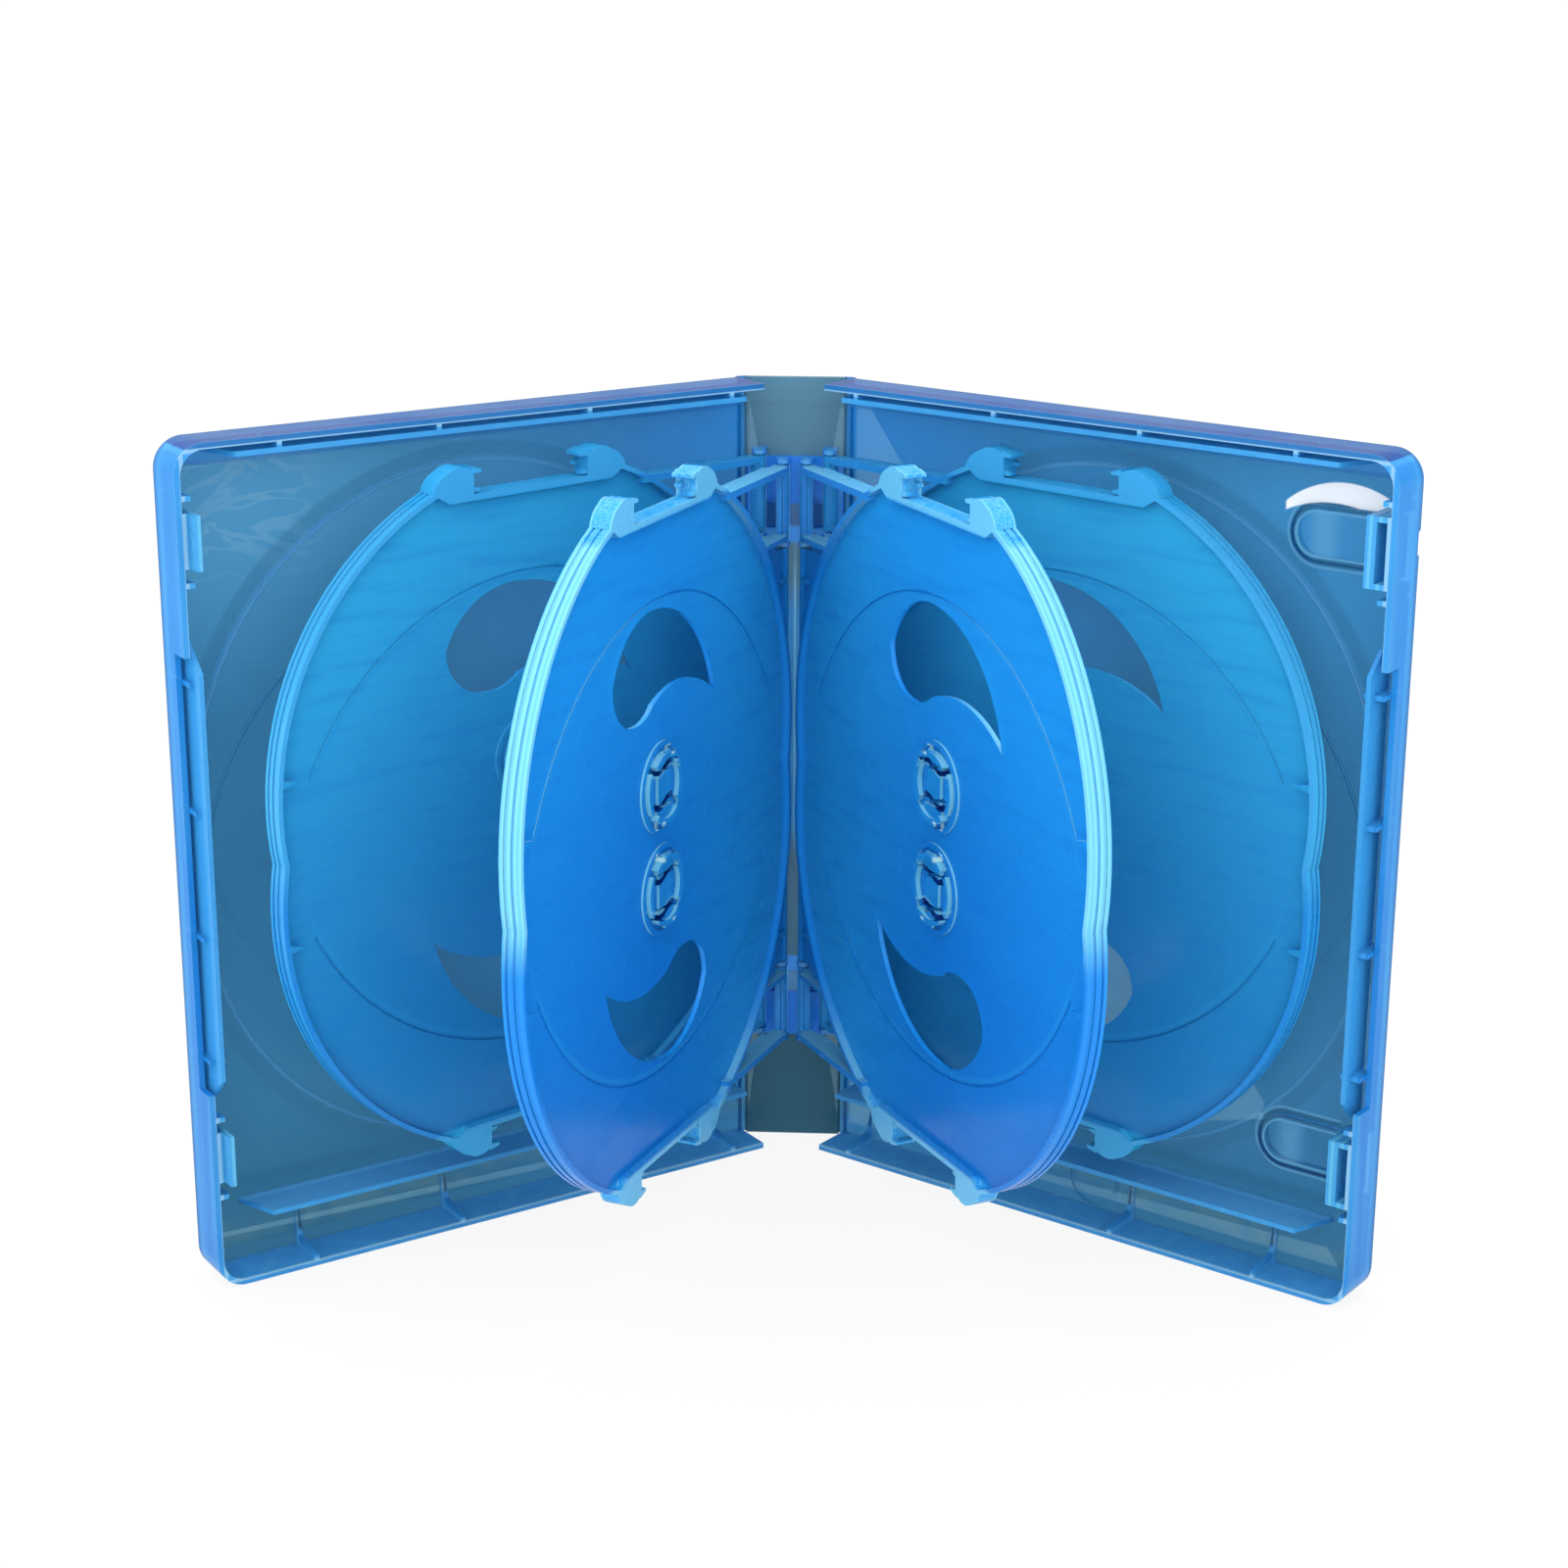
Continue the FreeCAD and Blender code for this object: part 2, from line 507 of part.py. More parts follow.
def hinge_row(end):
    """Four pairs of rounded lugs, each with a rib on both sides behind the barrel."""
    back = -SHELL_T + 0.1
    parts = []
    pins = []
    for index in range(4):
        x = AXIS_X[index]
        z0, z1 = block_heights(index, end)
        for z in (z0, z1 - LUG_T):
            parts.append(box(x - LUG_R, x + LUG_R, AXIS_Y, back, z, z + LUG_T))
            parts.append(Part.makeCylinder(LUG_R, LUG_T, Vector(x, AXIS_Y, z)))
        for side in (-1, 1):
            rib = x + side * BAY
            parts.append(box(rib - BAY_T / 2, rib + BAY_T / 2, RIB_Y, back, z0 + 0.1, z1 - 0.1))
        pins.append(Part.makeCylinder(PIN_R + PIN_CLEAR, z1 - z0 + 4, Vector(x, AXIS_Y, z0 - 2)))
    whole = fuse(parts)
    for pin in pins:
        whole = whole.cut(pin)
    return whole


def spine():
    half_w = SPINE_W / 2
    plate_x = half_w - SPINE_CLEAR
    parts = [box(-plate_x, plate_x, -SHELL_T, 0, 0, CASE_H)]
    parts.append(box(-half_w + WEB_START, half_w - WEB_START, -WEB_T, 0, 0, CASE_H))
    parts += [hinge_row(1), hinge_row(-1)]
    whole = fuse(parts)
    window_half = TRAY_PITCH / 2 - BAY - BAY_T / 2 - 0.05
    for end in (-1, 1):
        middle = (block_heights(1, end)[0] + block_heights(1, end)[1]) / 2 - end * WINDOW_DROP
        z0, z1 = middle - WINDOW_H / 2, middle + WINDOW_H / 2
        for x in (-TRAY_PITCH, TRAY_PITCH):
            whole = whole.cut(box(x - window_half, x + window_half, -SHELL_T - 0.5, 1, z0, z1))
    return whole


def film(s0, s1):
    return plate(s0, s1, FILM_Z[0], FILM_Z[1], 4.0, -FILM_T, 0)


# Placing: closed position first, then turned out about its own hinge
def place_left(shape, x, y, angle):
    shape.rotate(Vector(0, 0, 0), Vector(0, 0, 1), -90)
    shape.translate(Vector(x, y, 0))
    shape.rotate(Vector(x, y, 0), Vector(0, 0, 1), -angle)
    return shape


def place_right(shape, x, y, angle):
    shape.rotate(Vector(0, 0, 0), Vector(0, 0, 1), -90)
    shape.translate(Vector(x, y, 0))
    shape.rotate(Vector(x, y, 0), Vector(0, 0, 1), angle)
    return shape


def mirrored(shape):
    return shape.mirror(Vector(0, 0, 0), Vector(0, 1, 0))


def placed_tray(body, index):
    copy = body.copy()
    right = index > 1
    if right:
        copy.rotate(Vector(0, 0, 0), Vector(1, 0, 0), 180)
    copy.translate(Vector(0, 0, TRAY_MID_Z + TRAY_LIFT[index]))
    place = place_right if right else place_left
    return place(copy, AXIS_X[index], AXIS_Y, TRAY_OPEN[index])


half = SPINE_W / 2
nodes = {}
nodes["spine"] = spine()
nodes["left_cover"] = place_left(left_cover(), -half, 0, LEFT_OPEN)
nodes["right_cover"] = place_right(mirrored(right_cover()), half, 0, RIGHT_OPEN)
moulding = tray()
names = ("rear_left_tray", "front_left_tray", "front_right_tray", "rear_right_tray")
for i in range(4):
    nodes[names[i]] = placed_tray(moulding, i)
nodes["left_film"] = place_left(film(FILM_S[0], FILM_S[1]), -half, 0, LEFT_OPEN)
nodes["right_film"] = place_right(mirrored(film(FILM_S[0], FILM_S[1])), half, 0, RIGHT_OPEN)
nodes["spine_film"] = box(-half + 1.2, half - 1.2, 0, FILM_T, FILM_Z[0], FILM_Z[1])

for name, shape in nodes.items():
    print(name, shape.ShapeType, len(shape.Solids), round(shape.Volume, 1), shape.isValid())
    shape.exportStep("parts/" + name + ".step")
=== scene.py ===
# %% [markdown]
# # An open multi-disc case
# The object is a case of clear blue polypropylene that stands open on its lower
# edges. Two covers hang on a narrow spine by living hinges, four trays swing on
# pins in front of the spine, and a sleeve of clear film is wrapped round the outside.
# The measured solids come from the CAD frame. This lesson gives them their finish
# and adds the thin flexible parts that a CAD solid can't show.

# %% Load the frame
import json
import math
import bmesh
import bpy
from mathutils import Matrix, Vector


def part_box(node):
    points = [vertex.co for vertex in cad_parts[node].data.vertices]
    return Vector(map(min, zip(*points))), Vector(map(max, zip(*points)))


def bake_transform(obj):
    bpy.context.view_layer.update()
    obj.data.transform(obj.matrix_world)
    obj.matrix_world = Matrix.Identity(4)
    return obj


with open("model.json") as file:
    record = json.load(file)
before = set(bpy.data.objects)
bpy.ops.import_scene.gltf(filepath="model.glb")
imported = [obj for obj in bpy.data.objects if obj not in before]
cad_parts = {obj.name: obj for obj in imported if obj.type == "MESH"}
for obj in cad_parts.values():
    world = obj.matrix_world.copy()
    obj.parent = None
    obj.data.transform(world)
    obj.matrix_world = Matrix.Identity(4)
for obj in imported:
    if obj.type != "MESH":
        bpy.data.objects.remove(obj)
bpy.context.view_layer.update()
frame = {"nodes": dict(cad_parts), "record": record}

MM = 0.001
nodes = frame["nodes"]
print("nodes:", sorted(nodes))

# %% [markdown]
# Everything on this case is flat and turned about an upright pin or hinge. So each
# cover and tray has a pivot and a heading, and a point of it is easiest to give as
# three numbers: along the sheet from the pivot, out of the sheet on its inner side,
# and up. The pivots are read from the record's joints; the headings are the angles
# at which the case stands open in the photograph.

# %% Own axes of the covers and trays
joints = {j["child"]: j for j in frame["record"]["behaviour"]["joints"]}
OPEN_DEG = {
    "left_cover": 53.8, "right_cover": 56.2,
    "rear_left_tray": 45.2, "front_left_tray": 20.4,
    "front_right_tray": 28.4, "rear_right_tray": 51.6,
}
TRAYS = ("rear_left_tray", "front_left_tray", "front_right_tray", "rear_right_tray")
COVERS = ("left_cover", "right_cover")


def side_of(body):
    """-1 on the left of the case and 1 on the right."""
    return -1 if "left" in body else 1


def sheet_axes(body):
    """Pivot, direction along the sheet and direction out of its inner face."""
    turn = math.radians(OPEN_DEG[body])
    side = side_of(body)
    along = Vector((side * math.sin(turn), -math.cos(turn), 0))
    out = Vector((-side * math.cos(turn), -math.sin(turn), 0))
    return Vector(joints[body]["pos_m"]), along, out


for body in COVERS + TRAYS:
    low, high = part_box(body)
    print(body, "stands from", round(low.z / MM, 1), "to", round(high.z / MM, 1), "mm")

# %% [markdown]
# A material is a small network of nodes: numbers and colours flow along the links
# until they reach a shader. Written out node by node, that gets long. So this class
# has one short method for each step that the finishes need, and every finish below
# reads as a recipe. A value that is the same everywhere isn't a node of its own: it
# goes straight on the socket.

# %% A node network with short step names
class Net:
    """A network of shader nodes. Each method adds a step and returns its result."""

    def __init__(self, tree):
        self.tree = tree
        tree.nodes.clear()

    def add(self, kind, **settings):
        node = self.tree.nodes.new(kind)
        for key, value in settings.items():
            setattr(node, key, value)
        return node

    def join(self, source, target):
        self.tree.links.new(source, target)

    def feed(self, socket, value):
        """Joins a socket, or writes a plain value into the input."""
        if isinstance(value, bpy.types.NodeSocket):
            self.join(value, socket)
        else:
            socket.default_value = value

    def math(self, operation, a, b=0.0):
        node = self.add("ShaderNodeMath", operation=operation)
        self.feed(node.inputs[0], a)
        self.feed(node.inputs[1], b)
        return node.outputs[0]

    def size(self, value):
        return self.math("ABSOLUTE", value)

    def plus(self, a, b):
        return self.math("ADD", a, b)

    def minus(self, a, b):
        return self.math("SUBTRACT", a, b)

    def product(self, *values):
        total = values[0]
        for value in values[1:]:
            total = self.math("MULTIPLY", total, value)
        return total

    def largest(self, *values):
        top = values[0]
        for value in values[1:]:
            top = self.math("MAXIMUM", top, value)
        return top

    def ramp(self, value, low, high, to_low=0.0, to_high=1.0):
        """Smooth step that starts at low and ends at high."""
        node = self.add("ShaderNodeMapRange", interpolation_type="SMOOTHSTEP")
        for socket, item in zip(("Value", "From Min", "From Max", "To Min", "To Max"),
                                (value, low, high, to_low, to_high)):
            self.feed(node.inputs[socket], item)
        return node.outputs["Result"]

    def fall(self, value, low, high, start=1.0):
        """Smooth step down to 0."""
        return self.ramp(value, low, high, start, 0.0)

    def band(self, value, middle, half, soft):
        """1 within half of the middle value, falling to 0 over the soft width."""
        away = self.size(self.minus(value, middle))
        return self.fall(away, half, half + soft)

    def blend(self, factor, first, second):
        """Colour that goes from the first to the second as the factor rises."""
        node = self.add("ShaderNodeMix", data_type="RGBA")
        self.feed(node.inputs["Factor"], factor)
        colours = [s for s in node.inputs if s.type == "RGBA"]
        self.feed(colours[0], first)
        self.feed(colours[1], second)
        return [s for s in node.outputs if s.type == "RGBA"][0]

    def dot(self, vector, direction):
        """How far a vector reaches along a direction."""
        node = self.add("ShaderNodeVectorMath", operation="DOT_PRODUCT")
        self.join(vector, node.inputs[0])
        node.inputs[1].default_value = tuple(direction)
        return node.outputs["Value"]

    def distance(self, flat, centre):
        node = self.add("ShaderNodeVectorMath", operation="DISTANCE")
        self.join(flat, node.inputs[0])
        node.inputs[1].default_value = (*centre, 0)
        return node.outputs["Value"]

    def in_mm(self, vector):
        node = self.add("ShaderNodeVectorMath", operation="SCALE")
        self.join(vector, node.inputs[0])
        node.inputs["Scale"].default_value = 1 / MM
        return node.outputs["Vector"]

    def combine(self, x, y, z=0.0):
        node = self.add("ShaderNodeCombineXYZ")
        for socket, value in zip(node.inputs, (x, y, z)):
            self.feed(socket, value)
        return node.outputs["Vector"]

    def noise(self, vector, scale, detail, distortion=0.0):
        node = self.add("ShaderNodeTexNoise")
        self.join(vector, node.inputs["Vector"])
        node.inputs["Scale"].default_value = scale
        node.inputs["Detail"].default_value = detail
        node.inputs["Distortion"].default_value = distortion
        return node.outputs["Fac"]

    def mix_out(self, factor, first, second, output="ShaderNodeOutputMaterial"):
        """Two shaders mixed by the factor, as the surface of the output node."""
        mixed = self.add("ShaderNodeMixShader")
        self.feed(mixed.inputs[0], factor)
        self.join(first.outputs[0], mixed.inputs[1])
        self.join(second.outputs[0], mixed.inputs[2])
        self.join(mixed.outputs[0], self.add(output).inputs["Surface"])


# %% [markdown]
# A colour read off a screen is not what a socket takes: a screen packs its dark
# tones closer together. One function turns the one into the other. Two more start a
# material and put it on a body of the frame in place of its plain one.

# %% Colours and materials
def srgb(r, g, b):
    """Screen colour, 0 to 255, as the linear colour that a socket takes."""
    def linear(v):
        v /= 255
        return v / 12.92 if v <= 0.04045 else ((v + 0.055) / 1.055) ** 2.4
    return (linear(r), linear(g), linear(b), 1.0)


def new_material(name):
    material = bpy.data.materials.new(name)
    material.use_nodes = True
    return material, Net(material.node_tree)


def dress(body, material):
    nodes[body].data.materials.clear()
    nodes[body].data.materials.append(material)


print("screen grey 128 is", round(srgb(128, 128, 128)[0], 3), "of full light")

# %% [markdown]
# A finish has to stay on the plastic when a cover turns. So it never asks where a
# point is in the room. It reads the object's own coordinates, in millimetres from
# the body's pivot, and the object's own normal, which tells a broad face from the
# edge of a wall and from a level surface.

# %% Places on a turned sheet
class Own:
    """One body's measures: s along, d out, z up, and whether a face is wall or level."""

    def __init__(self, net, body, zero=0.0):
        pivot, along, out = sheet_axes(body)
        source = net.add("ShaderNodeTexCoord")
        shift = net.add("ShaderNodeVectorMath", operation="SUBTRACT")
        net.join(source.outputs["Object"], shift.inputs[0])
        shift.inputs[1].default_value = (pivot.x, pivot.y, zero * MM)
        normal = source.outputs["Normal"]
        self.place = net.in_mm(shift.outputs["Vector"])
        self.s = net.dot(self.place, along)
        self.d = net.dot(self.place, out)
        self.z = net.dot(self.place, (0, 0, 1))
        self.flat = net.combine(self.s, self.z)
        self.wall = net.fall(net.size(net.dot(normal, out)), 0.35, 0.85)
        self.level = net.ramp(net.size(net.dot(normal, (0, 0, 1))), 0.6, 0.9)


# %% [markdown]
# Clear coloured plastic looks even on its faces and bright on its edges, because
# light is led along inside the sheet and leaves at the rim. A glass shader would need
# many bounces to show that, and much time. So one recipe serves all the mouldings: a
# gloss shader painted with the colour that the face has, mixed with a tinted
# transparent shader for what is behind. Fine noise gives it a satin bump.

# %% Recipe for the blue mouldings
PLASTIC_IOR, SHINE, COAT_ROUGHNESS = 1.45, 0.25, 0.08
BUMP_DEPTH = 0.4 * MM


def finish_plastic(net, colour, tint, see_through, roughness, height, bump=0.12, coat=0.06):
    """Gloss plastic with a tinted window share, ending in the material output."""
    shader = net.add("ShaderNodeBsdfPrincipled")
    net.feed(shader.inputs["Base Color"], colour)
    net.feed(shader.inputs["Roughness"], roughness)
    shader.inputs["IOR"].default_value = PLASTIC_IOR
    shader.inputs["Specular IOR Level"].default_value = SHINE
    shader.inputs["Coat Weight"].default_value = coat
    shader.inputs["Coat Roughness"].default_value = COAT_ROUGHNESS
    relief = net.add("ShaderNodeBump")
    relief.inputs["Strength"].default_value = bump
    relief.inputs["Distance"].default_value = BUMP_DEPTH
    net.join(height, relief.inputs["Height"])
    net.join(relief.outputs["Normal"], shader.inputs["Normal"])
    window = net.add("ShaderNodeBsdfTransparent")
    net.feed(window.inputs["Color"], tint)
    net.mix_out(see_through, shader, window)


# %% [markdown]
# The trays are the deepest blue. A broad face is azure at the top and a stronger blue below, with
# faint level flow streaks from the moulding. The side next to the hinge lies in the shade of the
# other trays and is painted brighter, so that it comes out as in the photograph. A thin pale line,
# a painted highlight, marks the edge of the other disc's seat. The front pair is more saturated
# than the rear pair, which is seen through more plastic.

# %% Tray faces
HUB_S, HUB_DZ = 61.3, 10.62         # hub centre along the tray, and off its mid height
SEAT_R = 60.3                       # radius of a disc seat
FRONT_LOOK = {
    "low": srgb(26, 136, 228), "top": srgb(40, 166, 246), "hinge": srgb(48, 182, 255),
    "edge": srgb(26, 132, 222), "glow": srgb(130, 214, 242), "horn": srgb(46, 166, 236),
}
REAR_LOOK = {
    "low": srgb(46, 150, 212), "top": srgb(60, 188, 238), "hinge": srgb(46, 166, 226),
    "edge": srgb(42, 142, 218), "glow": srgb(70, 170, 226), "horn": srgb(50, 168, 230),
}


def tray_face(net, own, look):
    cloud = net.noise(own.place, scale=0.022, detail=2)
    flow = net.combine(net.product(own.s, 0.06), net.product(own.z, 0.5))
    streaks = net.noise(flow, scale=0.8, detail=2)
    height = net.plus(own.z, net.product(cloud, 24))
    face = net.blend(net.ramp(height, -40, 75), look["low"], look["top"])
    face = net.blend(net.fall(own.s, 8, 66, 0.95), face, look["hinge"])
    return net.blend(net.ramp(streaks, 0.45, 0.75, 0.0, 0.35), face, look["edge"])


def seat_line(net, own, far_hub):
    # Painted highlight: a pale line along the raised edge of the other disc's seat.
    line = net.band(far_hub, SEAT_R - 1.7, 0.25, 0.4)
    return net.product(line, net.ramp(net.size(own.z), 4, 16, 0.0, 0.45))


print("two seats of radius", SEAT_R, "mm overlap by", round(2 * (SEAT_R - HUB_DZ), 1), "mm")

# %% [markdown]
# The rim, the horns beside the finger notch and every cut edge are where the light comes out, so
# they are painted pale. The rim has two grooves, whose light and shade are painted as alternating
# strands, and the front pair gets a painted, nearly white gleam over its upper half. The horns are
# curled hooks: level lines of a distorted noise stand for their curls and are painted as pale
# highlights. The level faces of the hinge arms get a pale painted highlight too.

# %% Tray edges
HORN_Z = 65.0                       # where the horns start, off the tray's mid height
STRAND_RATE = 5.2                   # radians a millimetre: a strand every 1.2 mm


def tray_edge(net, own, look):
    """Colour of the tray's edges, and the share of the horns in it."""
    # Painted light and shade: alternating strands for the rim's grooves, then a painted gleam on
    # the rim.
    strands = net.ramp(net.math("SINE", net.product(own.d, STRAND_RATE)), -0.6, 0.9)
    gleam = net.product(net.ramp(own.z, -10, 4), net.ramp(own.s, 50, 90))
    edge = net.blend(gleam, look["edge"], look["glow"])
    edge = net.blend(net.product(strands, 0.35), edge, look["top"])
    height = net.size(own.z)
    horn = net.ramp(height, HORN_Z - 0.6, HORN_Z + 0.6)
    stretched = net.combine(own.s, net.product(own.d, 1.6), own.z)
    curls = net.noise(stretched, scale=0.34, detail=1, distortion=2.5)
    # Painted highlights: pale lines for the curls of the horns.
    lines = net.largest(net.band(curls, 0.5, 0.01, 0.035), net.band(curls, 0.38, 0.006, 0.02))
    lines = net.largest(lines, net.ramp(net.size(own.d), 1.7, 2.1))
    rise = net.blend(net.ramp(own.z, -60, 60), look["top"], look["horn"])
    rise = net.blend(net.product(lines, 0.7), rise, look["glow"])
    # Painted highlight on the level faces of the hinge arms.
    arm = net.product(net.fall(own.s, 30, 50), net.ramp(height, 44, 50))
    top_face = net.ramp(own.level, 0.0, 1.0, 0.1, 0.7)
    edge = net.blend(net.product(arm, top_face), edge, look["glow"])
    return net.blend(horn, edge, rise), horn


# %% [markdown]
# A hub holds the disc by springy jaws. Two wavy slots are cut through the plate so that the jaws
# can bend. In clear plastic the cuts look nearly black, the jaws pale, and the tips of the jaws
# nearly white: the slots get a painted dark shade, the jaws and the ring round them painted
# highlights, and the jaw tips a nearly white painted highlight. All of it lies round the hub's
# centre, so the masks are bands of the distance to the hub and of the height above it.

# %% Tray hubs
PLATE_D = 0.6                       # front face of the tray's plate
JAWS_R, RING_R = 8.0, 10.0          # the jaws lie in the first, the ring in the second
SLOT_HALF, SLOT_WAVE = 5.2, 0.75    # half length of a slot, and height of its wave
SLOT_LEVELS, LIT_LEVEL = (4.3, -2.9), 3.45      # slots and the lit edge, off the hub
BEAD_OFF, BEAD_LEAN = 7.3, 0.34     # a jaw's tip off the hub, and its lean along the tray


def jaws_and_ring(net, own, colour, near_hub, look):
    # Painted highlights: the jaws, the ring round them and the jaws' walls are pale.
    jaw = net.product(net.fall(near_hub, JAWS_R - 0.4, JAWS_R + 0.4),
                      net.ramp(own.d, PLATE_D + 0.02, PLATE_D + 0.15))
    colour = net.blend(net.product(jaw, 0.55), colour, look["horn"])
    ring = net.product(net.ramp(near_hub, JAWS_R, JAWS_R + 0.3),
                       net.fall(near_hub, RING_R - 0.3, RING_R),
                       own.wall, net.ramp(own.d, PLATE_D, PLATE_D + 0.1))
    colour = net.blend(ring, colour, look["glow"])
    return net.blend(net.product(jaw, own.wall, 0.8), colour, look["glow"])


def beads_and_slots(net, own, colour, near_hub, look):
    """Adds the jaw tips' painted highlight and the slots' painted shade. Returns the colour and the
    share of the slots.
    """
    off_hub = net.minus(net.size(own.z), HUB_DZ)
    in_front = net.ramp(own.d, PLATE_D - 0.1, PLATE_D)
    leaning = net.plus(own.s, net.product(off_hub, BEAD_LEAN))
    bead = net.product(net.band(net.size(off_hub), BEAD_OFF, 0.8, 0.2),
                       net.band(leaning, HUB_S, 0.6, 0.3), in_front)
    # Painted highlight: the jaw tips are nearly white.
    colour = net.blend(bead, colour, srgb(206, 255, 255))
    x = net.product(net.minus(own.s, HUB_S), net.math("SIGN", own.z))
    turn = net.product(net.plus(x, SLOT_HALF), math.pi / SLOT_HALF)
    level = net.minus(off_hub, net.product(net.math("SINE", turn), SLOT_WAVE))
    lit = net.product(net.band(level, LIT_LEVEL, 0.2, 0.25),
                      net.fall(near_hub, JAWS_R - 0.4, JAWS_R + 0.4), in_front, 0.7)
    colour = net.blend(lit, colour, look["glow"])
    # Painted shade: the slots are a dark navy.
    slot = net.largest(*[net.band(level, height, 0.5, 0.25) for height in SLOT_LEVELS])
    slot = net.product(slot, net.fall(net.size(x), SLOT_HALF - 0.2, SLOT_HALF + 0.2))
    return net.blend(slot, colour, srgb(8, 36, 104)), slot


# %% [markdown]
# The parts of a tray's finish are laid over each other: the face, the pale edges, the
# seat line and the hub. Edges and slots let less light through than the thin plate.

# %% Trays put together
def tray_plastic(body):
    low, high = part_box(body)
    look = FRONT_LOOK if body.startswith("front") else REAR_LOOK
    material, net = new_material("blue_plastic_" + body)
    own = Own(net, body, zero=(low.z + high.z) / 2 / MM)
    hubs = [net.distance(own.flat, (HUB_S, end * HUB_DZ)) for end in (1, -1)]
    near_hub = net.math("MINIMUM", *hubs)
    far_hub = net.math("MAXIMUM", *hubs)
    edge, horn = tray_edge(net, own, look)
    rim = net.ramp(near_hub, SEAT_R - 0.2, SEAT_R + 0.2)
    pale = net.largest(rim, horn, own.wall)
    colour = net.blend(pale, tray_face(net, own, look), edge)
    colour = net.blend(seat_line(net, own, far_hub), colour, look["horn"])
    colour = jaws_and_ring(net, own, colour, near_hub, look)
    colour, slot = beads_and_slots(net, own, colour, near_hub, look)
    see_through = net.minus(0.38, net.product(net.largest(pale, slot), 0.18))
    fine = net.noise(own.place, scale=0.08, detail=2)
    roughness = net.ramp(fine, 0.3, 0.7, 0.18, 0.32)
    finish_plastic(net, colour, srgb(132, 206, 246), see_through, roughness, fine, bump=0.06)
    return material


for tray_name in TRAYS:
    dress(tray_name, tray_plastic(tray_name))
print("tray plastic on", len(TRAYS), "trays")

# %% [markdown]
# The covers are the same plastic but look greyer and greener, since nothing blue is behind them.
# Their panels go from grey blue at the top to a dark teal at the bottom. Near the hinge, where the
# trays shade them, they are painted brightest and bluest. The left one shows pale wisps in its
# upper corner, where the room is mirrored, painted in as a reflection. Along the foot run a dark
# line of painted shade just above the lower shelf and a brownish painted sheen below it. The gap
# above the upper shelf is shaded by the shelf and the top wall, and is painted a bright blue.

# %% Cover panels
PANEL_LOOK = {
    "left_cover": (srgb(38, 90, 106), srgb(52, 130, 172), srgb(102, 178, 216)),
    "right_cover": (srgb(42, 102, 134), srgb(54, 132, 184), srgb(66, 156, 214)),
}
# Heights of the painted shade line and of the brownish painted sheen along the foot.
SHADE_LINE_Z, SHEEN_LINE_Z = 17.5, 7.0         # dark line and brownish line along the foot
UPPER_SHELF_Z = 165.0


def panel_colour(net, own, body):
    low, middle, top = PANEL_LOOK[body]
    cloud = net.noise(own.place, scale=0.016, detail=2)
    height = net.plus(own.z, net.product(cloud, 40))
    face = net.blend(net.ramp(height, 0, 100), low, middle)
    face = net.blend(net.ramp(height, 110, 190), face, top)
    # Painted light: brighter and bluer beside the hinge, where the trays shade the panel.
    hinge_light = net.product(net.fall(own.s, 4, 96, 0.9), net.ramp(own.z, 20, 60, 0.6, 1.0))
    face = net.blend(hinge_light, face, srgb(36, 150, 242))
    smoke = net.noise(net.combine(net.product(own.s, 0.6), own.z),
                      scale=0.06, detail=2, distortion=2.6)
    if body == "left_cover":
        corner = net.product(net.ramp(own.z, 138, 154), net.ramp(own.s, 92, 108))
        wisp = net.product(net.band(smoke, 0.5, 0.01, 0.05), corner, 0.6)
        face = net.blend(wisp, face, srgb(150, 200, 224))
    # Painted shade: a dark line just above the lower shelf.
    shade_line = net.product(net.band(own.z, SHADE_LINE_Z, 0.4, 1.8), 0.5)
    face = net.blend(shade_line, face, srgb(20, 62, 84))
    # Painted sheen: a brownish line along the foot, below the lower shelf.
    brown_sheen = net.product(net.band(own.z, SHEEN_LINE_Z, 1.0, 3.0), net.ramp(smoke, 0.4, 0.6, 0.1, 0.6))
    face = net.blend(brown_sheen, face, srgb(126, 150, 118))
    # Painted light: the gap above the upper shelf, shaded by the shelf and the top wall, is a
    # bright blue.
    shelf_gap_light = net.ramp(own.z, UPPER_SHELF_Z, UPPER_SHELF_Z + 1, 0.0, 0.9)
    return net.blend(shelf_gap_light, face, srgb(64, 160, 246))


print("panel colours for", ", ".join(PANEL_LOOK))

# %% [markdown]
# A cover has raised rings for a disc of its own: they catch the light as a pale line with a darker
# one outside. Under each catch of the right cover is a long raised pad with a round end. Its sloped
# edge bends the light away, so it reads as a dark band of painted shade between two pale painted
# lines, and a soft upright painted highlight lies inside its round end. Just above the upper pad a
# lamp is mirrored as a white crescent, which lies inside one circle and outside another. A real
# lamp would have to stand exactly right for that, so the crescent is painted in as a reflection.

# %% Seat arcs, pads and the mirrored lamp
ARC_S = 65.5                        # middle of the rings, from the hinge
PAD_S, PAD_END_S = 111.0, 123.0     # centre of a pad's round end, and its other end
PAD_HEIGHTS = (153.3, 28.5)
LAMP_OUTSIDE = ((116.3, 144.3), 19.0)
LAMP_INSIDE = ((114.0, 135.7), 23.4)
LAMP_END_S = 103.5


def seat_arcs(net, own, face, middle):
    rings = [net.distance(own.flat, (ARC_S, middle + end * HUB_DZ)) for end in (1, -1)]
    near = net.math("MINIMUM", *rings)
    shade = net.product(net.band(near, SEAT_R + 2.4, 0.9, 1.4), 0.35)
    face = net.blend(shade, face, srgb(22, 66, 104))
    line = net.product(net.band(near, SEAT_R + 0.3, 0.25, 0.35),
                       net.ramp(own.z, 40, 120, 0.35, 0.85))
    return net.blend(line, face, srgb(110, 184, 240))


